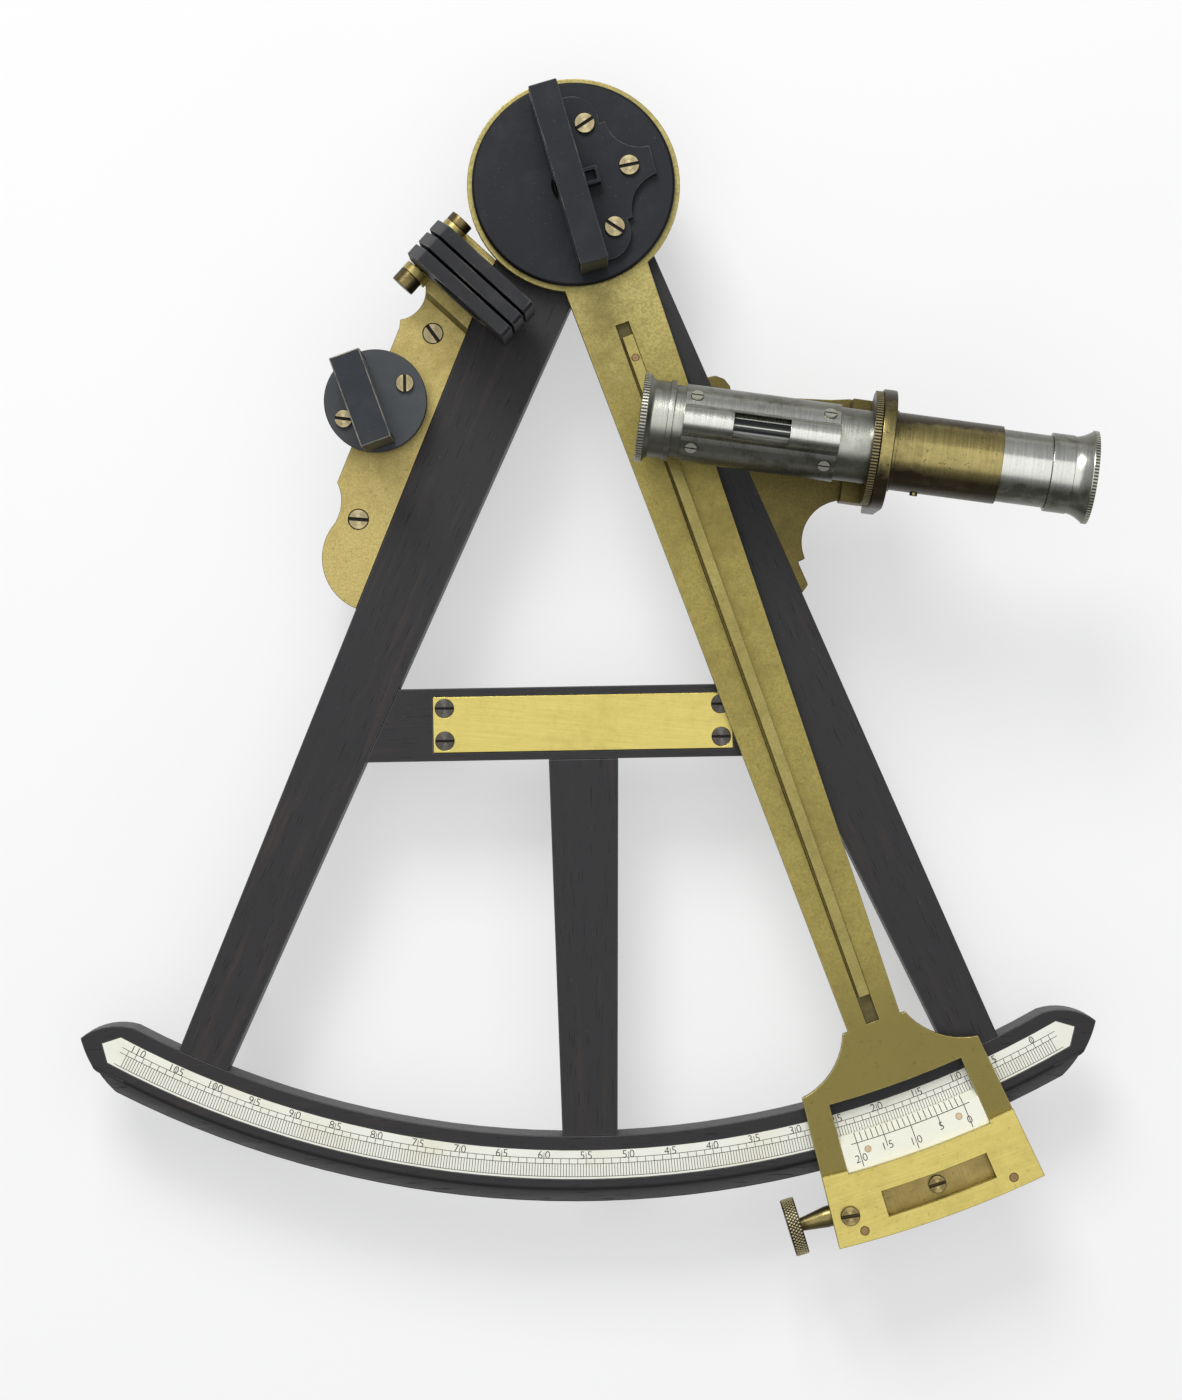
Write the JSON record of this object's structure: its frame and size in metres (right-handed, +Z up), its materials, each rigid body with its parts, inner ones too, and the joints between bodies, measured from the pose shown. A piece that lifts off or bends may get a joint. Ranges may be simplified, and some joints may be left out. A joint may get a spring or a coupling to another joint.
{
  "type": "octant",
  "caption": "Navigator's octant: ebony frame with bone scale, turning brass index arm with vernier, slow-motion clamp, mirrors, folding shades and a drawing telescope.",
  "frame": {"origin": "bottom of the apex foot, on the axis that the index arm turns about", "axes": "+Z up out of the instrument's face, +Y from the scale to the pivot, +X to the telescope's side"},
  "size_m": [0.2614, 0.3035, 0.0695],
  "materials": {
    "ebony": "oiled, fine grain",
    "bone": "polished, slightly yellowed",
    "bright_brass": "brushed",
    "arm_brass": "aged, finely grained",
    "turned_brass": "turned, aged",
    "aged_brass": "brown patina, speckled",
    "nickel_silver": "worn silvered",
    "black_lacquer": "worn satin lacquer",
    "iron": "darkened",
    "mirror_glass": "silvered",
    "lens_glass": "clear",
    "red_shade_glass": "dark",
    "green_shade_glass": "dark"
  },
  "bodies": {
    "frame": {"left_leg": "ebony", "right_leg": "ebony", "limb": "ebony", "cross_bar": "ebony", "strut": "ebony", "left_ear": "ebony", "bone_scale": "bone", "name_plate": "bright_brass", "name_plate_screws": "iron", "ear_plate": "bright_brass", "ear_plate_screws": "bright_brass", "pivot_bush": "turned_brass", "apex_foot": "turned_brass", "limb_feet": "turned_brass", "shade_stand": "bright_brass", "shade_pin": "turned_brass", "scope_bracket": "aged_brass", "scope_bracket_screws": "iron", "scope_collar": "aged_brass", "scope_flange": "aged_brass", "scope_tube": "nickel_silver", "objective_cell": "nickel_silver", "objective_lens": "lens_glass", "level_cover": "nickel_silver", "level_cover_screws": "nickel_silver", "level_vial": "lens_glass", "scope_barrel": "aged_brass"},
    "index_arm": {"index_arm": "arm_brass", "arm_rib": "arm_brass", "arm_pins": "arm_brass", "end_plate": "bright_brass", "vernier": "bone", "swivel_post": "turned_brass", "swivel_screw": "bright_brass", "mirror_platform": "black_lacquer", "index_mirror_base": "black_lacquer", "index_mirror_screws": "bright_brass", "index_mirror_frame": "black_lacquer", "index_mirror": "mirror_glass", "centre_pin": "turned_brass", "centre_nut": "turned_brass"},
    "clamp": {"clamp_slide": "turned_brass", "slide_screw": "bright_brass", "clamp_jaw": "turned_brass"},
    "clamp_screw": {"clamp_screw": "turned_brass"},
    "tangent_screw": {"tangent_screw": "turned_brass"},
    "shade_1": {"shade_1": "black_lacquer", "shade_glass_1": "red_shade_glass"},
    "shade_2": {"shade_2": "black_lacquer", "shade_glass_2": "red_shade_glass"},
    "shade_3": {"shade_3": "black_lacquer", "shade_glass_3": "green_shade_glass"},
    "horizon_glass": {"horizon_disc": "black_lacquer", "horizon_frame": "black_lacquer", "horizon_mirror": "mirror_glass", "horizon_screws": "bright_brass", "horizon_lever": "turned_brass"},
    "eyepiece": {"draw_tube": "nickel_silver", "eyepiece": "nickel_silver", "eye_lens": "lens_glass"}
  },
  "joints": [
    {"name": "arm_turn", "type": "hinge", "parent": "frame", "child": "index_arm", "pos_m": [0, 0, 0.0305], "axis": [0, 0, -1], "range_deg": [-6.25, 49.75]},
    {"name": "clamp_slide", "type": "slide", "parent": "index_arm", "child": "clamp", "axis": [0.9608, 0.2773, 0], "range_m": [-0.003, 0.003]},
    {"name": "tangent_turn", "type": "hinge", "parent": "index_arm", "child": "tangent_screw", "pos_m": [0.06616, -0.26476, 0.0269], "axis": [0.9608, 0.2773, 0], "continuous": true},
    {"name": "clamp_turn", "type": "hinge", "parent": "clamp", "child": "clamp_screw", "pos_m": [0.08391, -0.24015, 0.012], "axis": [0, 0, 1], "continuous": true},
    {"name": "shade_1_fold", "type": "hinge", "parent": "frame", "child": "shade_1", "pos_m": [-0.03572, -0.01676, 0.0395], "axis": [-0.6858, -0.7278, 0], "range_deg": [0, 95]},
    {"name": "shade_2_fold", "type": "hinge", "parent": "frame", "child": "shade_2", "pos_m": [-0.03572, -0.01676, 0.0395], "axis": [-0.6858, -0.7278, 0], "range_deg": [0, 95]},
    {"name": "shade_3_fold", "type": "hinge", "parent": "frame", "child": "shade_3", "pos_m": [-0.03572, -0.01676, 0.0395], "axis": [-0.6858, -0.7278, 0], "range_deg": [0, 95]},
    {"name": "horizon_turn", "type": "hinge", "parent": "frame", "child": "horizon_glass", "pos_m": [-0.05144, -0.05458, 0.0305], "axis": [0, 0, 1], "range_deg": [-4, 4]},
    {"name": "draw_slide", "type": "slide", "parent": "frame", "child": "eyepiece", "axis": [0.9885, -0.1513, 0], "range_m": [-0.011, 0.009]}
  ],
  "couplings": [
    {"joint": "tangent_turn", "follows": "clamp_slide", "rad_per_m": 4188.8}
  ]
}
